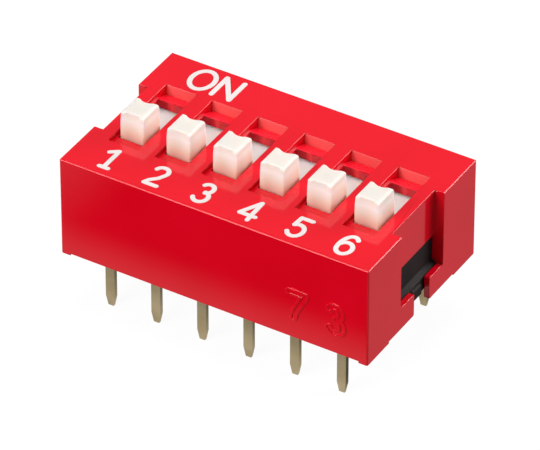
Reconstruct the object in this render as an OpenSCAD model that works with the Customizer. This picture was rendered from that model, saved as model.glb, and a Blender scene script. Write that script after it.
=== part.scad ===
// Slide DIP switch with six positions, standing on the tips of its terminals.
// X runs along the row from position 1 to position 6, -Y is the numbered side,
// +Y is the ON side and +Z is up. The origin is midway between the terminals, at their tips.
// The sliders are drawn in their off position. All sizes are in millimetres.

/* [Housing] */
// Length of the housing along the row
body_len = 16.7; // [11.6:0.1:16.9]
// Width of the housing across the row
body_wid = 10; // [9:0.1:11]
// Height of the housing from its feet to its roof
body_ht = 5.5; // [5.2:0.1:6.5]
// Thickness of the roof over the sliders
roof_t = 0.74; // [0.7:0.02:0.9]
// Least distance from an end of the housing to the cell of the nearest position
end_margin = 0.68; // [0.6:0.01:0.8]
// Radius of the outer edges
edge_r = 0.1; // [0.04:0.01:0.14]
// Height of the corner feet
foot_ht = 0.1; // [0.05:0.01:0.2]
// Length of the corner feet along the row
foot_len = 0.5; // [0.3:0.05:0.6]
// Length of the corner feet across the row
foot_wid = 2; // [1:0.1:2.4]

/* [Pockets] */
// Distance between neighbouring positions
pitch = 2.54; // [2.3:0.01:2.6]
// Width of a pocket along the row
pocket_wid = 1.66; // [1.56:0.01:1.8]
// Length of a pocket across the row
pocket_len = 5.16; // [5:0.02:5.6]
// Offset of the pockets from the middle of the housing, towards the back
pocket_shift = 0.04; // [0:0.01:0.1]
// Depth of the ledge round the through-slot
ledge_depth = 0.25; // [0.15:0.01:0.4]
// Depth of the pocket at its back wall, at the foot of the slope
slope_depth = 0.6; // [0.45:0.01:0.62]

/* [Ends] */
// Width of the recess and the window in each end
recess_wid = 3.92; // [3.6:0.02:4.4]
// Depth of the recess in each end
recess_depth = 0.51; // [0.3:0.005:0.6]
// Height of the top of the window above the feet
window_top = 2.9; // [2.7:0.05:3]
// Gap between the two tabs of a window
tab_gap = 1.4; // [1.2:0.05:2]
// Thickness of a tab
tab_t = 0.3; // [0.25:0.01:0.4]
// Height of the lower edge of a tab above the feet
tab_low = 0.1; // [0.05:0.01:0.3]
// Height of the upper edge of a tab above the feet
tab_high = 1.36; // [1:0.02:1.4]

/* [Sliders] */
// Width of a knob along the row
knob_wid = 1.37; // [1.2:0.01:1.4]
// Length of a knob across the row
knob_len = 1.5; // [1.3:0.02:1.6]
// Height of a knob above the roof
knob_rise = 1.24; // [0.8:0.02:1.6]
// Narrowing of a knob on each side, from the roof up to its top
knob_taper = 0.07; // [0.02:0.01:0.1]
// Depth of the upright hollow in the back of a knob
back_hollow = 0.21; // [0.1:0.01:0.24]
// Depth of the upright hollow in the front of a knob
front_hollow = 0.07; // [0.04:0.01:0.24]
// Radius of the edges of a knob
knob_r = 0.15; // [0.1:0.01:0.2]
// Distance a slider moves from off to on
travel = 1.96; // [1.8:0.02:2.1]
// Offset of the middle of the travel from the middle of the housing, towards the front
travel_shift = 0.07; // [0:0.01:0.14]
// Width of a slider's plate along the row
plate_wid = 1.9; // [1.8:0.01:1.94]
// Thickness of a slider's plate
plate_t = 0.5; // [0.4:0.02:0.6]
// Clearance of a knob in its through-slot
slot_clear = 0.04; // [0.03:0.005:0.06]
// Clearance of a plate under the roof
plate_clear = 0.04; // [0.03:0.005:0.06]
// Clearance of a plate beside the guide ribs and the end walls
guide_clear = 0.05; // [0.03:0.005:0.08]
// Gap between a plate and the long wall that it slides up to
stop_gap = 0.12; // [0.05:0.01:0.3]

/* [Base] */
// Height of the underside of the base above the feet
base_low = 0.55; // [0.4:0.05:0.6]
// Height of the top of the base above the feet
base_high = 2.3; // [2.1:0.05:2.4]
// Clearance of the base inside the walls of the cover
base_clear = 0.05; // [0.02:0.01:0.1]
// Clearance of the end flange behind the tabs
tab_clear = 0.03; // [0.02:0.01:0.06]
// Depth of the end flange's upper face behind the end of the housing
flange_depth = 0.565; // [0.55:0.005:0.65]
// Height where the end flange starts to slope out
flange_slope_high = 1.54; // [1.5:0.01:1.6]
// Height where the slope of the end flange ends
flange_slope_low = 1.3; // [1.2:0.01:1.4]
// Width of the lug between the tabs
lug_wid = 0.8; // [0.6:0.05:1]
// Depth of the face of the lug behind the end of the housing
lug_depth = 0.24; // [0.2:0.01:0.3]
// Height of the top of the lug above the feet
lug_high = 1.16; // [1:0.02:1.2]
// Chamfer of the top edge of the lug
lug_chamfer = 0.1; // [0.05:0.01:0.15]

/* [Terminals] */
// Distance between the two rows of terminals
row_space = 7.62; // [7:0.02:7.8]
// Distance from the middle of a terminal row to the inner face of the long wall
row_clear = 0.44; // [0.3:0.01:0.5]
// Reach of the terminals below the feet
pin_reach = 3.1; // [2.8:0.1:3.5]
// Width of a terminal's leg along the row
pin_wid = 0.5; // [0.4:0.02:0.6]
// Thickness of a terminal
pin_t = 0.25; // [0.2:0.01:0.3]
// Length of a terminal's tapered tip
tip_len = 0.58; // [0.4:0.02:0.8]
// Width of a terminal at its very tip
tip_wid = 0.3; // [0.2:0.01:0.35]
// Thickness of a terminal at its very tip
tip_t = 0.15; // [0.1:0.01:0.18]
// Width of a contact pad
pad_wid = 1.3; // [1:0.05:1.5]
// Gap between the front pad and the rear pad of a position
pad_gap = 1; // [0.8:0.05:1.2]

/* [Spring contacts] */
// Thickness of the contact strip
wiper_t = 0.12; // [0.1:0.01:0.15]
// Width of the contact strip
wiper_wid = 1.2; // [1:0.05:1.4]
// Half of the distance between the two feet of a contact
wiper_reach = 1.45; // [1.35:0.05:1.55]
// Half of the length of the crown that seats under the plate
crown_half = 0.6; // [0.5:0.05:0.8]
// Width of the slot that splits each arm into two fingers
finger_gap = 0.25; // [0.2:0.01:0.3]
// Height that the end of a finger curls up
curl_rise = 0.35; // [0.2:0.05:0.5]
// Gap between the feet of a contact and the pads
contact_gap = 0.04; // [0.03:0.005:0.06]
// Radius of the peg that holds a contact
peg_r = 0.22; // [0.18:0.01:0.25]
// Clearance of a contact's hole round its peg
peg_clear = 0.02; // [0.01:0.005:0.03]

/* [Markings] */
// Thickness of the printed ink
ink_t = 0.02; // [0.01:0.005:0.03]
// Width of the lines of the numbers
number_line = 0.23; // [0.18:0.01:0.26]
// Width of the lines of the word
word_line = 0.25; // [0.18:0.01:0.28]
// Offset of the numbers from the middle of the strip in front of the pockets, towards the pockets
number_lift = -0.015; // [-0.06:0.005:0.1]
// Offset of the numbers from their terminals along the row
number_shift = 0.13; // [0:0.01:0.2]
// Offset of the word from the middle of the strip behind the pockets, away from the pockets
word_lift = -0.04; // [-0.06:0.005:0.12]
// Offset of the word's first letter from the first terminals along the row
word_shift = 0.48; // [0.3:0.01:0.8]
// Height of the raised numerals above the front wall
numeral_rise = 0.05; // [0.02:0.01:0.06]
// Width of the lines of the raised numerals
numeral_line = 0.42; // [0.36:0.01:0.46]
// Width of the groove along the middle of those lines
numeral_groove = 0.16; // [0.1:0.01:0.2]
// Distance from the end of the housing to the middle of the last raised numeral
numeral_inset = 1.72; // [1.2:0.02:2]
// Distance between the middles of the raised numerals
numeral_space = 2.02; // [1.6:0.02:2.4]
// Height of the middle of the raised numerals above the feet
numeral_ht = 2.02; // [1.6:0.02:2.6]

/* [Hidden] */
positions = floor((body_len - 2 * end_margin) / pitch + 0.001);

red = "crimson";
white = "ivory";
black = "dimgray";
tinned = "darkkhaki";
gilt = "gold";

$fn = 48;
over = 0.5;           // length by which a cutter passes the surface it cuts
merge = 0.05;         // depth by which a rib, tab or numeral is sunk into its own wall

half_len = body_len / 2;
half_wid = body_wid / 2;
seat_z = pin_reach;                   // underside of the corner feet
roof_z = seat_z + body_ht;            // top of the housing
ceiling_z = roof_z - roof_t;          // underside of the roof
cavity_x = (positions - 1) / 2 * pitch + plate_wid / 2 + guide_clear;  // inner face of the end walls
cavity_y = row_space / 2 + row_clear;                                 // inner face of the long walls
pocket_front = pocket_shift - pocket_len / 2;
pocket_back = pocket_shift + pocket_len / 2;
front_strip_y = (pocket_front - half_wid) / 2;  // middle of the strip in front of the pockets
back_strip_y = (pocket_back + half_wid) / 2;    // middle of the strip behind the pockets
recess_x = half_len - recess_depth;   // floor of the end recesses
window_z = seat_z + window_top;

knob_sweep = knob_len + travel;       // length that a knob covers in all
knob_y = -travel_shift - travel / 2;  // centre of a knob in the off position
slot_wid = knob_wid + 2 * slot_clear;
slot_front = -travel_shift - knob_sweep / 2 - slot_clear;
slot_back = -travel_shift + knob_sweep / 2 + slot_clear;

plate_top = ceiling_z - plate_clear;
plate_low = plate_top - plate_t;
plate_front = stop_gap - cavity_y;
plate_back = cavity_y - stop_gap - travel;
rib_wid = pitch - plate_wid - 2 * guide_clear;

base_bottom_z = seat_z + base_low;
base_top_z = seat_z + base_high;
flange_x = half_len - flange_depth;
ledge_x = half_len - tab_t - tab_clear;
lug_x = half_len - lug_depth;

rib_low_z = base_top_z + base_clear;
crown_z = plate_low - wiper_t / 2;
foot_z = base_top_z + contact_gap + wiper_t / 2;

function position_x(n) = (n - (positions + 1) / 2) * pitch;

// Points along an elliptical arc, from angle a0 to angle a1
function arc_points(cx, cy, rx, ry, a0, a1, steps = 14) =
    [for (i = [0:steps]) let (a = a0 + (a1 - a0) * i / steps) [cx + rx * cos(a), cy + ry * sin(a)]];

// Unit normal on the left of the path at point i
function path_normal(p, i) =
    let (a = p[max(i - 1, 0)], b = p[min(i + 1, len(p) - 1)], d = b - a)
    [-d[1], d[0]] / norm(d);

// Round end of a line of width w at c, where the line comes in along the direction d
function cap_points(c, d, w) =
    let (a = atan2(d[1], d[0])) arc_points(c[0], c[1], w / 2, w / 2, a + 90, a - 90, 8);

// Flat line of width w along a path, with round ends
module line_along(p, w) {
    last = len(p) - 1;
    left = [for (i = [1:1:last - 1]) p[i] + path_normal(p, i) * w / 2];
    right = [for (i = [last - 1:-1:1]) p[i] - path_normal(p, i) * w / 2];
    polygon(concat(
        cap_points(p[0], p[0] - p[1], w), left,
        cap_points(p[last], p[last] - p[last - 1], w), right));
}

// Closed oval line of width w
module oval_line(cx, cy, rx, ry, w) {
    difference() {
        polygon(arc_points(cx, cy, rx + w / 2, ry + w / 2, 0, 352.5, 47));
        polygon(arc_points(cx, cy, rx - w / 2, ry - w / 2, 0, 352.5, 47));
    }
}

// Rectangle with round corners, centred on its own middle
module round_rect(length, width, r) {
    square([length - 2 * r, width], center = true);
    square([length, width - 2 * r], center = true);
    for (sx = [-1, 1], sy = [-1, 1])
        translate([sx * (length / 2 - r), sy * (width / 2 - r)]) circle(r);
}

// Side view of a block that stands on z = 0, with round upper corners
module round_top(length, height, r) {
    translate([-length / 2, 0]) square([length, height - r]);
    translate([r - length / 2, 0]) square([length - 2 * r, height]);
    for (s = [-1, 1]) translate([s * (length / 2 - r), height - r]) circle(r);
}

// Side view of a block that is straight up to shoulder, then narrows by taper on each side
module taper_top(length, shoulder, height, r, taper) {
    lean = atan(taper / (height - shoulder));
    arc_x = length / 2 - (r + (height - r - shoulder) * sin(lean)) / cos(lean);
    polygon(concat(
        [[-length / 2, 0], [length / 2, 0], [length / 2, shoulder]],
        arc_points(arc_x, height - r, r, r, lean, 90, 8),
        arc_points(-arc_x, height - r, r, r, 90, 180 - lean, 8),
        [[-length / 2, shoulder]]));
}

// Block that stands on z = 0, with round upright and upper edges
module round_block(length, width, height, r) {
    intersection() {
        linear_extrude(height) round_rect(length, width, r);
        rotate([90, 0, 0]) linear_extrude(width + over, center = true) round_top(length, height, r);
        rotate([90, 0, 90]) linear_extrude(length + over, center = true) round_top(width, height, r);
    }
}

// Extrudes a shape drawn in Y and Z along X, centred on x = 0
module along_x(length) {
    rotate([90, 0, 90]) linear_extrude(length, center = true) children();
}

module pocket_cut() {
    along_x(pocket_wid) polygon([
        [pocket_front, roof_z + over],
        [pocket_front, roof_z - ledge_depth],
        [slot_back, roof_z - ledge_depth],
        [pocket_back, roof_z - slope_depth],
        [pocket_back, roof_z + over]]);
    translate([-slot_wid / 2, slot_front, ceiling_z - over])
        cube([slot_wid, slot_back - slot_front, roof_t + 2 * over]);
}

module end_cut() {
    tall = body_ht + 2 * over;
    translate([recess_x, -recess_wid / 2, seat_z - over])
        cube([recess_depth + over, recess_wid, tall]);
    translate([cavity_x - over, -recess_wid / 2, seat_z - over])
        cube([half_len - cavity_x + 2 * over, recess_wid, window_top + over]);
}

// Tab that reaches from the side of a window towards its middle, on the +Y side
module window_tab() {
    tab_len = (recess_wid - tab_gap) / 2 + merge;
    tall = tab_high - tab_low;
    r = edge_r;
    translate([half_len - tab_t, tab_gap / 2, seat_z + tab_low])
        rotate([90, 0, 90]) linear_extrude(tab_t) {
            translate([r, 0]) square([tab_len - r, tall]);
            translate([0, r]) square([tab_len, tall - 2 * r]);
            for (z = [r, tall - r]) translate([r, z]) circle(r);
        }
}

// Numerals of the front wall, each drawn round its own middle
module raised_7(w) {
    line_along([[-0.44, 0.72], [0.42, 0.72]], w);
    line_along([[0.42, 0.72], [0.19, 0.3], [-0.02, -0.12], [-0.15, -0.45], [-0.21, -0.72]], w);
}

module raised_3(w) {
    line_along(arc_points(-0.04, 0.38, 0.34, 0.36, 150, -75), w);
    line_along(arc_points(0, -0.37, 0.38, 0.39, 75, -160), w);
}

module wall_numerals(w) {
    translate([half_len - numeral_inset, numeral_ht]) {
        translate([-numeral_space, 0]) raised_7(w);
        raised_3(w);
    }
}

module cover() {
    color(red) {
        difference() {
            translate([0, 0, seat_z]) round_block(body_len, body_wid, body_ht, edge_r);
            difference() {
                translate([-cavity_x, -cavity_y, seat_z - over])
                    cube([2 * cavity_x, 2 * cavity_y, ceiling_z - seat_z + over]);
                for (n = [1:positions - 1])
                    translate([position_x(n + 0.5) - rib_wid / 2, -half_wid, rib_low_z])
                        cube([rib_wid, body_wid, body_ht]);
            }
            for (n = [1:positions]) translate([position_x(n), 0, 0]) pocket_cut();
            for (side = [0, 1]) mirror([side, 0, 0]) end_cut();
            translate([-half_len + foot_len, -half_wid - over, seat_z - over])
                cube([body_len - 2 * foot_len, body_wid + 2 * over, foot_ht + over]);
            translate([-half_len - over, -half_wid + foot_wid, seat_z - over])
                cube([body_len + 2 * over, body_wid - 2 * foot_wid, foot_ht + over]);
        }
        for (sx = [0, 1], sy = [0, 1]) mirror([sx, 0, 0]) mirror([0, sy, 0]) window_tab();
        translate([0, merge - half_wid, seat_z])
            rotate([90, 0, 0]) linear_extrude(merge + numeral_rise) difference() {
                wall_numerals(numeral_line);
                wall_numerals(numeral_groove);
            }
    }
}

// End flange of the base that fills a window, with the lug between the tabs, on the +X side
module base_end() {
    flange_wid = recess_wid - 2 * base_clear;
    start_x = cavity_x - base_clear - merge;
    rotate([90, 0, 0]) linear_extrude(flange_wid, center = true) polygon([
        [start_x, base_bottom_z],
        [ledge_x, base_bottom_z],
        [ledge_x, seat_z + flange_slope_low],
        [flange_x, seat_z + flange_slope_high],
        [flange_x, window_z - base_clear],
        [start_x, window_z - base_clear]]);
    rotate([90, 0, 0]) linear_extrude(lug_wid, center = true) polygon([
        [start_x, base_bottom_z],
        [lug_x, base_bottom_z],
        [lug_x, seat_z + lug_high - lug_chamfer],
        [lug_x - lug_chamfer, seat_z + lug_high],
        [start_x, seat_z + lug_high]]);
}

module base() {
    half_x = cavity_x - base_clear;
    half_y = cavity_y - base_clear;
    color(black) difference() {
        union() {
            translate([-half_x, -half_y, base_bottom_z])
                cube([2 * half_x, 2 * half_y, base_top_z - base_bottom_z]);
            for (side = [0, 1]) mirror([side, 0, 0]) base_end();
        }
        for (n = [1:positions], side = [0, 1])
            translate([position_x(n), 0, 0]) mirror([0, side, 0]) terminal_bar(over);
    }
}

// Straight leg and contact pad of a terminal in the -Y row; extra lengthens them for a cutter
module terminal_bar(extra = 0) {
    leg_low = (extra > 0) ? base_bottom_z - extra : tip_len;
    translate([-pin_wid / 2, -row_space / 2 - pin_t / 2, leg_low])
        cube([pin_wid, pin_t, base_top_z - leg_low]);
    translate([-pad_wid / 2, -row_space / 2 - pin_t / 2, base_top_z - pin_t])
        cube([pad_wid, (row_space + pin_t - pad_gap) / 2, pin_t + extra]);
}

// Tapered tip of a terminal in the -Y row
module terminal_tip() {
    translate([0, -row_space / 2, 0]) intersection() {
        rotate([90, 0, 0]) linear_extrude(pin_t, center = true) polygon([
            [-tip_wid / 2, 0], [tip_wid / 2, 0], [pin_wid / 2, tip_len], [-pin_wid / 2, tip_len]]);
        along_x(pin_wid) polygon([
            [-tip_t / 2, 0], [tip_t / 2, 0], [pin_t / 2, tip_len], [-pin_t / 2, tip_len]]);
    }
}

module terminal(n, side) {
    color(tinned) translate([position_x(n), 0, 0]) mirror([0, side, 0]) {
        terminal_bar();
        terminal_tip();
    }
}

// Cutter for the upright hollow in the back of a knob, deep by depth and leaning with the back
module knob_hollow(depth, shoulder, tall) {
    hollow_half = 0.31 * knob_wid;
    r = (pow(hollow_half, 2) + pow(depth, 2)) / (2 * depth);
    translate([0, knob_len / 2 - depth, shoulder]) rotate([atan(knob_taper / knob_rise), 0, 0])
        translate([0, r, 0]) cylinder(r = r, h = 3 * tall, center = true, $fn = 96);
}

// Knob with an upright hollow in its front and its back, narrower towards its top
module knob() {
    shoulder = roof_z - plate_low;
    tall = shoulder + knob_rise;
    translate([0, knob_y, plate_low]) difference() {
        intersection() {
            linear_extrude(tall) round_rect(knob_wid, knob_len, knob_r);
            rotate([90, 0, 0]) linear_extrude(knob_len + over, center = true)
                taper_top(knob_wid, shoulder, tall, knob_r, knob_taper);
            along_x(knob_wid + over) taper_top(knob_len, shoulder, tall, knob_r, knob_taper);
        }
        knob_hollow(back_hollow, shoulder, tall);
        mirror([0, 1, 0]) knob_hollow(front_hollow, shoulder, tall);
    }
}

module slider(n) {
    color(white) translate([position_x(n), 0, 0]) {
        translate([-plate_wid / 2, plate_front, plate_low])
            cube([plate_wid, plate_back - plate_front, plate_t]);
        knob();
        translate([0, knob_y, plate_low - 2 * wiper_t]) cylinder(r = peg_r, h = 2 * wiper_t + merge);
    }
}

// Straight or curled stretch of the contact strip in Y and Z, with round joints
module strip(points) {
    for (i = [0:len(points) - 2]) {
        step = points[i + 1] - points[i];
        translate(points[i]) rotate(atan2(step[1], step[0]))
            translate([0, -wiper_t / 2]) square([norm(step), wiper_t]);
    }
    for (p = points) translate(p) circle(d = wiper_t, $fn = 24);
}

module wiper(n) {
    curl_run = 0.25;
    half = concat(
        [[crown_half, crown_z], [wiper_reach - curl_run, foot_z + 0.1], [wiper_reach, foot_z]],
        [[wiper_reach + curl_run, foot_z + 0.1], [wiper_reach + curl_run + 0.15, foot_z + curl_rise]]);
    reach_out = wiper_reach + 2 * curl_run + wiper_t;
    color(gilt) translate([position_x(n), knob_y, 0]) difference() {
        along_x(wiper_wid) {
            translate([-crown_half, crown_z - wiper_t / 2]) square([2 * crown_half, wiper_t]);
            strip(half);
            mirror([1, 0]) strip(half);
        }
        translate([0, 0, plate_low - over]) cylinder(r = peg_r + peg_clear, h = 2 * over);
        for (side = [0, 1]) mirror([0, side, 0])
            translate([-finger_gap / 2, crown_half + wiper_t, base_top_z])
                cube([finger_gap, reach_out, plate_low - base_top_z + over]);
    }
}

// Printed numbers, each drawn round its own middle
module number_1() {
    line_along([[-0.38, 0.44], [-0.02, 0.7]], number_line);
    line_along([[0, 0.7], [0, -0.68]], number_line);
    line_along([[-0.23, -0.7], [0.24, -0.7]], number_line);
}

module number_2() {
    line_along(concat(
        arc_points(0, 0.37, 0.33, 0.33, 165, -25),
        [[0.12, -0.12], [-0.22, -0.45], [-0.33, -0.7]]), number_line);
    line_along([[-0.33, -0.7], [0.35, -0.7]], number_line);
}

module number_3() {
    line_along(arc_points(-0.04, 0.36, 0.3, 0.34, 150, -80), number_line);
    line_along(arc_points(-0.02, -0.31, 0.36, 0.4, 85, -155), number_line);
}

module number_4() {
    line_along([[0.17, 0.7], [0.2, -0.72]], number_line);
    line_along([[0.15, 0.68], [-0.41, -0.38]], number_line);
    line_along([[-0.41, -0.38], [0.42, -0.38]], number_line);
}

module number_5() {
    line_along([[0.36, 0.7], [-0.24, 0.7]], number_line);
    line_along([[-0.24, 0.7], [-0.29, 0.1]], number_line);
    line_along(arc_points(-0.03, -0.25, 0.38, 0.46, 125, -150), number_line);
}

module number_6() {
    line_along(arc_points(0.02, -0.26, 0.37, 0.44, -165, 150, 24), number_line);
    line_along(arc_points(0.06, -0.1, 0.42, 0.8, 196, 52), number_line);
}

module word_on() {
    n_left = 0.92;
    n_right = 1.89;
    n_half = 0.74;
    translate([position_x(1) + word_shift, back_strip_y + word_lift]) {
        oval_line(0, 0, 0.58, 0.77, word_line);
        for (x = [n_left, n_right]) line_along([[x, -n_half], [x, n_half]], word_line);
        line_along([[n_left, n_half], [n_right, -n_half]], word_line);
    }
}

module number(n) {
    if (n == 1) number_1();
    if (n == 2) number_2();
    if (n == 3) number_3();
    if (n == 4) number_4();
    if (n == 5) number_5();
    if (n == 6) number_6();
}

module printed_legend() {
    color(white) translate([0, 0, roof_z]) linear_extrude(ink_t) {
        for (n = [1:positions])
            translate([position_x(n) + number_shift, front_strip_y + number_lift]) number(n);
        word_on();
    }
}

cover();
base();
for (n = [1:positions]) {
    slider(n);
    wiper(n);
    terminal(n, 0);
    terminal(n, 1);
}
printed_legend();
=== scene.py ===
"""Six-position slide DIP switch: finishes, rounded edges, studio and camera.

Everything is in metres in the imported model's own frame. X runs along the row of positions, -Y is
the numbered side, +Y the ON side, +Z is up, and the terminals stand on z = 0.
"""
import math
import bmesh
import bpy
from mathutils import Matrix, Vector


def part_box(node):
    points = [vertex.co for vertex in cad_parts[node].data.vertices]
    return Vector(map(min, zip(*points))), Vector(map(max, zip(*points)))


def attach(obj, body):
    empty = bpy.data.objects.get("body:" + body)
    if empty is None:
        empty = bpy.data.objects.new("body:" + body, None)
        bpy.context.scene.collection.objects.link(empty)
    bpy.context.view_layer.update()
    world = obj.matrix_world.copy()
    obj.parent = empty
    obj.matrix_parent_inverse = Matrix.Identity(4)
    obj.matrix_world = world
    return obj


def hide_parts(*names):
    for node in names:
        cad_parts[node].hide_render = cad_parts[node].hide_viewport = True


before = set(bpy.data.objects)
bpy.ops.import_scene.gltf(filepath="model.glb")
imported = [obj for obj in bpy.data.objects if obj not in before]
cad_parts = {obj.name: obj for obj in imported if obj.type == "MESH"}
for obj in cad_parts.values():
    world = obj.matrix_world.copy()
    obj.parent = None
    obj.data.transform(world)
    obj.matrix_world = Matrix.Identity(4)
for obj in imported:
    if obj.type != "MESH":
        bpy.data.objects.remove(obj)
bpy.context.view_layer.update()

MM = 0.001
WHITE = (1.0, 1.0, 1.0)
POSITIONS = range(1, 7)
HOUSING = "housing"

# Rounding of the outward edges
MOULDING_RADIUS = 0.03 * MM
SMALL_PIECE_RADIUS = 0.02 * MM
ROUNDING_STEPS = 3
SHARP_TURN = math.radians(40.0)     # an edge that turns by more is a sharp one
FLAT_TURN = math.radians(0.3)       # faces that turn by less are one flat face
SAME_PLACE = 1e-7                   # points nearer than this are one point
SQUARE_ON = 0.9998                  # part of a unit step along an axis that counts as along it
CUT_ROOM = 2.2                      # least room between two cuts, in radii

# Pockets in the roof of the cover, along Y and down from the roof, where painted sheen and painted
# light go
POCKETS_FROM = 1.6 * MM
BACK_WALLS_FROM = 2.2 * MM
BEHIND_POCKETS = 1.0 * MM           # from the back of the cover
POCKET_DEPTH = 0.66 * MM
LEDGE_BELOW = 0.2 * MM
FACES_FRONT = -0.99
FACES_UP = 0.3
RED, RED_BACK_SHEEN, RED_LEDGE_LIT = 0, 1, 2  # places in the cover's list of materials; back walls carry painted sheen, ledges painted light

# Tones of a slider by height, each with its part of the way from the plate to the knob's top:
# painted red bounce light on the plate and the knob's foot, painted shade low on the knob and at
# its top
PLATE_HEIGHT, KNOB_HEIGHT = 7.8 * MM, 9.9 * MM
SLIDER_PAINTED_TONES = (
    (0.00, (1.00, 0.90, 0.84)),
    (0.04, (1.00, 0.90, 0.84)),
    (0.12, (1.00, 0.40, 0.30)),
    (0.32, (0.78, 0.50, 0.40)),
    (0.45, (0.80, 0.64, 0.52)),
    (0.57, (0.81, 0.77, 0.67)),
    (0.76, (0.86, 0.89, 0.85)),
    (1.00, (0.69, 0.66, 0.61)),
)

# Painted light and shade on the floor as glossy faces mirror it, a painted shadow under the
# housing:
# axis, start and end of the change in mm, level before and after
FLOOR_PAINTED_LIGHT_ZONES = {
    "right": ("X", 9.0, 10.4, 0.0, 1.0),
    "beside": ("X", 6.4, 7.2, 1.0, 0.15),
    "under": ("Y", -8.5, -5.0, 0.0, 0.58),
    "wall_foot": ("Y", -11.2, -8.0, 0.0, 0.55),
    "before_pins": ("Y", -8.4, -7.6, 1.0, 0.0),
    "beyond_left": ("X", -16.0, -10.0, 0.42, 0.0),
}
MIDDLE_ZONE = (1.0 * MM, 4.0 * MM, 0.2, 1.0)    # the same, by the distance from the X axis
RIGHT_LEVEL = 0.3
FLOOR_HALF = 0.6
FLOOR_GREY = 0.5


# ---------------------------------------------------------------- node helpers

def cleared_tree(owner):
    """The emptied node tree of a material or world."""
    owner.use_nodes = True
    owner.node_tree.nodes.clear()
    return owner.node_tree


def join(tree, value, socket):
    """Links the value to the socket, or sets it there when it is a plain one."""
    if isinstance(value, bpy.types.NodeSocket):
        tree.links.new(value, socket)
    else:
        socket.default_value = value


def add_node(tree, kind, *values, sets=None, **links):
    """A node of that kind, with attributes from sets.

    Values go to its input sockets in order, and links to the sockets they name, with underscores
    for spaces."""
    node = tree.nodes.new(kind)
    for key, value in (sets or {}).items():
        setattr(node, key, value)
    for place, value in enumerate(values):
        join(tree, value, node.inputs[place])
    for label, value in links.items():
        join(tree, value, node.inputs[label.replace("_", " ")])
    return node


def reckon(tree, operation, *values):
    """Result of a sum, product or other operation on the values."""
    return add_node(tree, "ShaderNodeMath", *values, sets={"operation": operation}).outputs[0]


def spread(tree, value, start, end, first=0.0, last=1.0, easing="LINEAR"):
    """The value's way from start to end, spread over first to last."""
    return add_node(tree, "ShaderNodeMapRange", value, start, end, first, last,
                    sets={"interpolation_type": easing}).outputs[0]


def mix_tones(tree, factor, first, second, blend="MIX"):
    """The tones mixed or multiplied by the factor; each is a socket or a plain RGBA colour."""
    mix = add_node(tree, "ShaderNodeMix", factor, sets={"data_type": "RGBA", "blend_type": blend})
    join(tree, first, mix.inputs[6])
    join(tree, second, mix.inputs[7])
    return mix.outputs[2]


def object_place(tree):
    """Place on the piece, in the frame's metres."""
    return add_node(tree, "ShaderNodeTexCoord").outputs["Object"]


# ---------------------------------------------------------------- finishes

def moulded_skin_group():
    """Skin of a moulding: a long soft sink wave and a fine grain for the bump, and a cloudy gloss.

    Height = wave noise * Wave + grain noise * Grain. Cloud and Gloss are the two noise fields."""
    group = bpy.data.node_groups.new("moulded_skin", "ShaderNodeTree")
    for label in ("Wave Scale", "Grain Scale", "Wave", "Grain", "Strength"):
        group.interface.new_socket(label, in_out="INPUT", socket_type="NodeSocketFloat")
    for label, kind in (("Cloud", "Float"), ("Gloss", "Float"), ("Normal", "Vector")):
        group.interface.new_socket(label, in_out="OUTPUT", socket_type=f"NodeSocket{kind}")
    given = group.nodes.new("NodeGroupInput").outputs
    place = object_place(group)
    wave = add_node(group, "ShaderNodeTexNoise", Vector=place, Scale=given["Wave Scale"],
                    Detail=2.0, Roughness=0.4).outputs["Fac"]
    grain = add_node(group, "ShaderNodeTexNoise", Vector=place, Scale=given["Grain Scale"],
                     Detail=3.0, Roughness=0.6).outputs["Fac"]
    height = reckon(group, "ADD", reckon(group, "MULTIPLY", wave, given["Wave"]),
                    reckon(group, "MULTIPLY", grain, given["Grain"]))
    bump = add_node(group, "ShaderNodeBump", Height=height, Strength=given["Strength"],
                    Distance=0.02 * MM).outputs["Normal"]
    add_node(group, "NodeGroupOutput", Cloud=wave, Gloss=grain, Normal=bump)
    return group


def noise_range(tree, noise, low, high):
    """The noise field, which stays mostly between 0.3 and 0.7, spread over low to high."""
    return spread(tree, noise, 0.3, 0.7, low, high)


def moulded_plastic(name, tones, rough, wave, grain, strength, specular=0.5, metallic=0.0):
    """A moulded finish: two close tones, a cloudy gloss and the moulded skin's bump.

    Tones and rough are each a low and a high end. Wave and grain are each a scale and a share of
    the bump."""
    material = bpy.data.materials.new(name)
    tree = cleared_tree(material)
    skin = tree.nodes.new("ShaderNodeGroup")
    skin.node_tree = skin_group
    for label, value in (("Wave Scale", wave[0]), ("Wave", wave[1]), ("Grain Scale", grain[0]),
                         ("Grain", grain[1]), ("Strength", strength)):
        skin.inputs[label].default_value = value
    low, high = ((*tone, 1.0) for tone in tones)
    tone = mix_tones(tree, noise_range(tree, skin.outputs["Cloud"], 0.0, 1.0), low, high)
    shader = add_node(
        tree, "ShaderNodeBsdfPrincipled", Base_Color=tone, Normal=skin.outputs["Normal"],
        Roughness=noise_range(tree, skin.outputs["Gloss"], *rough),
        Specular_IOR_Level=specular, Metallic=metallic)
    add_node(tree, "ShaderNodeOutputMaterial", Surface=shader.outputs["BSDF"])
    return material


def painted_height_tones(tree, low, high, stops):
    """Painted light and shade that follow the height from low to high through the stops."""
    height = add_node(tree, "ShaderNodeSeparateXYZ", object_place(tree)).outputs["Z"]
    tones = add_node(tree, "ShaderNodeValToRGB", spread(tree, height, low, high))
    steps = tones.color_ramp.elements
    for index, (part, tone) in enumerate(stops):
        step = steps[index] if index < 2 else steps.new(part)
        step.position = part
        step.color = (*tone, 1.0)
    return tones.outputs["Color"]


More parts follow.
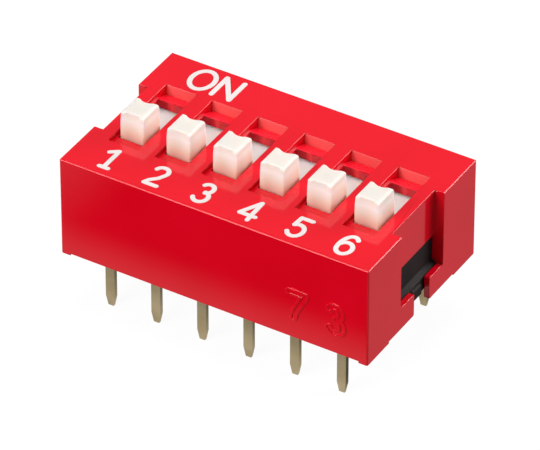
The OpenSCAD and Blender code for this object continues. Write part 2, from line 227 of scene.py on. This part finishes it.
def slider_plastic(name, **finish):
    """A moulded plastic that lets light in, its tone multiplied by painted bounce light and shade
    by height.
    """
    material = moulded_plastic(name, **finish)
    tree = material.node_tree
    shader = tree.nodes["Principled BSDF"]
    cloudy = shader.inputs["Base Color"].links[0].from_socket
    # painted red bounce light and painted shade, by height
    painted_by_height = painted_height_tones(tree, PLATE_HEIGHT, KNOB_HEIGHT, SLIDER_PAINTED_TONES)
    tree.links.new(mix_tones(tree, 1.0, cloudy, painted_by_height, blend="MULTIPLY"),
                   shader.inputs["Base Color"])
    shader.inputs["Subsurface Weight"].default_value = 1.0
    shader.inputs["Subsurface Radius"].default_value = (0.8, 0.55, 0.45)
    shader.inputs["Subsurface Scale"].default_value = 1.0 * MM
    return material


skin_group = moulded_skin_group()

red_plastic = moulded_plastic(
    "red_plastic", tones=((0.7, 0.001, 0.011), (0.74, 0.0015, 0.014)), rough=(0.07, 0.11),
    wave=(260.0, 1.0), grain=(7000.0, 0.03), strength=0.12)
# Pocket back walls: a rougher finish, and a pink tone that is painted sheen of the softbox
red_pocket = moulded_plastic(
    "red_pocket_back_painted_sheen", tones=((0.78, 0.09, 0.09), (0.84, 0.12, 0.12)), rough=(0.5, 0.6),
    wave=(400.0, 0.6), grain=(9000.0, 0.4), strength=0.3)
# Pocket ledges: rougher, and painted lighter than the plain red, as painted light
red_ledge_lit = moulded_plastic(
    "red_pocket_ledge_painted_light", tones=((0.92, 0.008, 0.03), (0.96, 0.012, 0.036)), rough=(0.25, 0.35),
    wave=(400.0, 0.6), grain=(9000.0, 0.2), strength=0.2)
# the sliders, with painted bounce light and shade by height
white_plastic = slider_plastic(
    "white_plastic", tones=((0.96, 0.96, 0.96), WHITE), rough=(0.4, 0.5),
    wave=(500.0, 1.0), grain=(9000.0, 0.2), strength=0.3)
black_plastic = moulded_plastic(
    "black_plastic", tones=((0.01, 0.007, 0.007), (0.018, 0.013, 0.013)), rough=(0.55, 0.7),
    wave=(600.0, 0.6), grain=(12000.0, 0.6), strength=0.4, specular=0.15)
white_ink = moulded_plastic(
    "white_ink", tones=((0.7, 0.64, 0.63), (0.74, 0.69, 0.68)), rough=(0.4, 0.55),
    wave=(900.0, 0.5), grain=(14000.0, 0.8), strength=0.4)
tinned_metal = moulded_plastic(
    "tinned_terminal", tones=((0.58, 0.46, 0.26), (0.72, 0.58, 0.35)), rough=(0.3, 0.42),
    wave=(900.0, 1.0), grain=(11000.0, 0.4), strength=0.4, metallic=1.0)
gilt_metal = moulded_plastic(
    "gilt_contact", tones=((0.86, 0.6, 0.24), (0.95, 0.72, 0.34)), rough=(0.18, 0.28),
    wave=(700.0, 1.0), grain=(11000.0, 0.4), strength=0.2, metallic=1.0)


# ---------------------------------------------------------------- pieces

def is_sharp(edge):
    """Whether the edge's two faces turn by more than the sharp turn."""
    return len(edge.link_faces) == 2 and edge.calc_face_angle() > SHARP_TURN


def corner_places(shape, room):
    """Places of the square corners along X, Y and Z.

    The places that most corners share come first, and none is nearer to another than room."""
    votes = ({}, {}, {})
    for corner in shape.verts:
        edges = [edge for edge in corner.link_edges if is_sharp(edge)]
        ways = [(edge.verts[1].co - edge.verts[0].co).normalized() for edge in edges]
        if len(edges) >= 3 and all(max(abs(step) for step in way) > SQUARE_ON for way in ways):
            for axis in range(3):
                place = round(corner.co[axis], 7)
                votes[axis][place] = votes[axis].get(place, 0) + 1
    chosen = ([], [], [])
    for axis in range(3):
        for place in sorted(votes[axis], key=lambda p: (-votes[axis][p], p)):
            if all(abs(place - other) > room for other in chosen[axis]):
                chosen[axis].append(place)
    return chosen


def square_faces(shape, room):
    """Cuts the flat faces in line with the square corners and joins the triangles in between.

    Each flat face is then made of rectangles, and a bevel along its rim stays even."""
    for axis, places in enumerate(corner_places(shape, room)):
        normal = Vector([float(axis == other) for other in range(3)])
        for place in places:
            bmesh.ops.bisect_plane(shape, geom=shape.verts[:] + shape.edges[:] + shape.faces[:],
                                   dist=SAME_PLACE, plane_co=normal * place, plane_no=normal)
            for edge in shape.edges:
                if all(abs(end.co[axis] - place) < 2 * SAME_PLACE for end in edge.verts):
                    edge.seam = True
    bmesh.ops.dissolve_limit(shape, angle_limit=FLAT_TURN, verts=shape.verts, edges=shape.edges,
                             delimit={"SEAM"})


def flat_first_normals(mesh):
    """A normal for each face corner that keeps broad faces flat and lets the narrow ones turn.

    Corners at a point that no sharp edge parts share the mean of their faces' normals, each
    weighted by the square of the face's area."""
    shape = bmesh.new()
    shape.from_mesh(mesh)
    shape.faces.ensure_lookup_table()
    push = [face.normal * (face.calc_area() / MM ** 2) ** 2 for face in shape.faces]
    normals = [(0.0, 0.0, 1.0)] * len(mesh.loops)
    for point in shape.verts:
        waiting = {corner.face.index: corner for corner in point.link_loops}
        while waiting:
            corner = waiting.popitem()[1]
            fan, todo = [corner], [corner]
            while todo:
                here = todo.pop()
                for edge in (here.edge, here.link_loop_prev.edge):
                    if not edge.smooth:
                        continue
                    for face in edge.link_faces:
                        if face.index in waiting:
                            fan.append(waiting.pop(face.index))
                            todo.append(fan[-1])
            mean = Vector((0.0, 0.0, 0.0))
            for here in fan:
                mean += push[here.face.index]
            for here in fan:
                way = mean if mean.length else here.face.normal
                normals[here.index] = tuple(way.normalized())
    shape.free()
    return normals


def rounded_copy(node, name, body, materials, radius, shades=None):
    """The CAD node's own shape with its sharp outward edges rounded by the radius.

    Its doubles are merged and its flat faces squared before the edges are bevelled. The shades
    function gives a face its place in the list of materials."""
    mesh = bpy.data.meshes.new(name)
    shape = bmesh.new()
    shape.from_mesh(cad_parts[node].data)
    bmesh.ops.remove_doubles(shape, verts=shape.verts, dist=SAME_PLACE)
    square_faces(shape, CUT_ROOM * radius)
    weight = shape.edges.layers.float.new("bevel_weight_edge")
    for edge in shape.edges:
        edge.seam = False
        if is_sharp(edge):
            if edge.is_convex:
                edge[weight] = 1.0
            else:
                edge.smooth = False
    for face in shape.faces:
        face.smooth = True
        if shades:
            face.material_index = shades(face)
    shape.to_mesh(mesh)
    shape.free()
    for material in materials:
        mesh.materials.append(material)
    piece = bpy.data.objects.new(name, mesh)
    bpy.context.collection.objects.link(piece)
    bevel = piece.modifiers.new("rounded_edges", "BEVEL")
    bevel.limit_method = "WEIGHT"
    bevel.width = radius
    bevel.segments = ROUNDING_STEPS
    bevel.use_clamp_overlap = False
    bevel.loop_slide = False
    finished = piece.evaluated_get(bpy.context.evaluated_depsgraph_get())
    settled = bpy.data.meshes.new_from_object(finished)
    piece.modifiers.clear()
    piece.data = settled
    settled.name = name
    settled.normals_split_custom_set(flat_first_normals(settled))
    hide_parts(node)
    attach(piece, body)
    return piece


def dress(node, material):
    """Gives a CAD node that shows as it is its finish."""
    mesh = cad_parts[node].data
    mesh.materials.clear()
    mesh.materials.append(material)


def cover_shade(face):
    """The material of a face of the cover: the pocket back wall with painted sheen, the ledge
    before it painted lighter, or the plain red.
    """
    place = face.calc_center_median()
    down = cover_high.z - place.z
    at_pockets = POCKETS_FROM < place.y < cover_high.y - BEHIND_POCKETS
    if not at_pockets or down > POCKET_DEPTH:
        return RED
    if face.normal.y < FACES_FRONT:
        return RED_BACK_SHEEN if place.y > BACK_WALLS_FROM else RED
    return RED_LEDGE_LIT if face.normal.z > FACES_UP and down > LEDGE_BELOW else RED


_, cover_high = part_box("cover")
rounded_copy("cover", "cover_shell", HOUSING, [red_plastic, red_pocket, red_ledge_lit],
             MOULDING_RADIUS, shades=cover_shade)
rounded_copy("base", "base_block", HOUSING, [black_plastic], MOULDING_RADIUS)
for n in POSITIONS:
    rounded_copy(f"slider_{n}", f"slider_body_{n}", f"actuator_{n}",
                 [white_plastic], SMALL_PIECE_RADIUS)
    for side in ("front", "rear"):
        rounded_copy(f"terminal_{side}_{n}", f"terminal_leg_{side}_{n}", HOUSING,
                     [tinned_metal], SMALL_PIECE_RADIUS)
    dress(f"wiper_{n}", gilt_metal)
dress("printed_legend", white_ink)


# ---------------------------------------------------------------- studio

def by_ray(tree, **weights):
    """The weight of the ray's own kind: camera, glossy, diffuse or transmission."""
    path = add_node(tree, "ShaderNodeLightPath")
    total = 0.0
    for kind, weight in weights.items():
        total = reckon(tree, "MULTIPLY_ADD", path.outputs[f"Is {kind.title()} Ray"], weight, total)
    return total


def painted_mirrored_floor(tree):
    """Painted light and shade of the floor in glossy faces: zones under, before and beside the
    housing.

    Under the housing it is the product of the under, middle and beside zones. The wall's foot is
    added before the pins, the right side takes over beyond the end, and the left end is added."""
    place = add_node(tree, "ShaderNodeSeparateXYZ", object_place(tree)).outputs
    zone = {name: spread(tree, place[axis], start * MM, end * MM, first, last, "SMOOTHSTEP")
            for name, (axis, start, end, first, last) in FLOOR_PAINTED_LIGHT_ZONES.items()}
    middle_zone = spread(tree, reckon(tree, "ABSOLUTE", place["Y"]), *MIDDLE_ZONE, "SMOOTHSTEP")
    pins = reckon(tree, "MULTIPLY", zone["under"], middle_zone)
    pins = reckon(tree, "MULTIPLY", pins, zone["beside"])
    wall = reckon(tree, "MULTIPLY_ADD", zone["wall_foot"], zone["before_pins"], pins)
    near = add_node(tree, "ShaderNodeMix", zone["right"], A=wall, B=RIGHT_LEVEL,
                    sets={"data_type": "FLOAT"}).outputs[0]
    return reckon(tree, "ADD", near, zone["beyond_left"])


def build_floor():
    """A wide pale floor at the terminals' tips that keeps a faint shadow."""
    half = FLOOR_HALF
    mesh = bpy.data.meshes.new("floor")
    mesh.from_pydata([(-half, -half, 0), (half, -half, 0), (half, half, 0), (-half, half, 0)],
                     [], [(0, 1, 2, 3)])
    floor = bpy.data.objects.new("floor", mesh)
    bpy.context.collection.objects.link(floor)
    material = bpy.data.materials.new("pale_floor")
    tree = cleared_tree(material)
    paper = add_node(tree, "ShaderNodeBsdfDiffuse", Color=(FLOOR_GREY,) * 3 + (1.0,))
    # glossy rays see the floor's painted shadow and light zones
    brightness = by_ray(tree, camera=1.1, glossy=painted_mirrored_floor(tree), diffuse=0.15,
                        transmission=1.0)
    glow = add_node(tree, "ShaderNodeEmission", Color=(*WHITE, 1.0), Strength=brightness)
    glow_share = by_ray(tree, camera=0.86, glossy=1.0, diffuse=0.6, transmission=1.0)
    mix = add_node(tree, "ShaderNodeMixShader", glow_share, paper.outputs[0], glow.outputs[0])
    add_node(tree, "ShaderNodeOutputMaterial", Surface=mix.outputs[0])
    mesh.materials.append(material)


def build_world():
    """Soft sky that brightens with height; the camera itself sees plain white."""
    world = bpy.data.worlds.new("studio")
    bpy.context.scene.world = world
    tree = cleared_tree(world)
    direction = add_node(tree, "ShaderNodeTexCoord").outputs["Generated"]
    height = add_node(tree, "ShaderNodeSeparateXYZ", direction).outputs["Z"]
    mirrored = spread(tree, height, 0.3, 1.0, 0.22, 0.5)
    soft = spread(tree, height, 0.3, 1.0, 0.12, 0.2)
    sky = add_node(tree, "ShaderNodeBackground", Color=(*WHITE, 1.0),
                   Strength=by_ray(tree, glossy=mirrored, diffuse=soft))
    plain = add_node(tree, "ShaderNodeBackground", Color=(*WHITE, 1.0), Strength=1.0)
    mix = add_node(tree, "ShaderNodeMixShader", by_ray(tree, camera=1.0, transmission=1.0),
                   sky.outputs[0], plain.outputs[0])
    add_node(tree, "ShaderNodeOutputWorld", Surface=mix.outputs[0])


def face_point(thing, target, way, distance):
    """Puts a lamp or camera at the distance from the target along the way, facing the target."""
    bpy.context.collection.objects.link(thing)
    thing.location = target + way * distance
    thing.rotation_mode = "QUATERNION"
    thing.rotation_quaternion = (-way).to_track_quat("-Z", "Y")


def softbox(name, way, distance, size, radiance):
    """A square area lamp of even radiance in that direction from the middle."""
    data = bpy.data.lights.new(name, "AREA")
    data.shape = "SQUARE"
    data.size = size
    data.energy = math.pi * size * size * radiance
    face_point(bpy.data.objects.new(name, data), middle, Vector(way).normalized(), distance)


def build_camera(azimuth, elevation, distance, lens, shift):
    """Camera that looks at the middle from the azimuth, turned from -Y, and the elevation."""
    data = bpy.data.cameras.new("camera")
    data.sensor_width = 36.0
    data.lens = lens
    data.shift_x, data.shift_y = shift
    data.clip_start = 0.01
    data.clip_end = 10.0
    camera = bpy.data.objects.new("camera", data)
    turn, rise = math.radians(azimuth), math.radians(elevation)
    way = Vector((math.sin(turn) * math.cos(rise), -math.cos(turn) * math.cos(rise),
                  math.sin(rise)))
    face_point(camera, middle, way, distance)
    bpy.context.scene.camera = camera


seat_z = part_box("cover")[0].z
middle = Vector((0.0, 0.0, seat_z + 2.8 * MM))
build_floor()
build_world()
softbox("key_softbox", (-0.3, -0.8, 0.5), distance=0.25, size=0.16, radiance=7.0)
softbox("overhead_softbox", (0.0, 0.1, 1.0), distance=0.3, size=0.2, radiance=4.1)
softbox("right_softbox", (0.62, 0.7, 0.32), distance=0.3, size=0.2, radiance=6.7)
build_camera(azimuth=31.051, elevation=37.103, distance=0.2727, lens=388.11333,
             shift=(0.003944444, -0.03640741))
bpy.context.scene.view_settings.view_transform = "Standard"
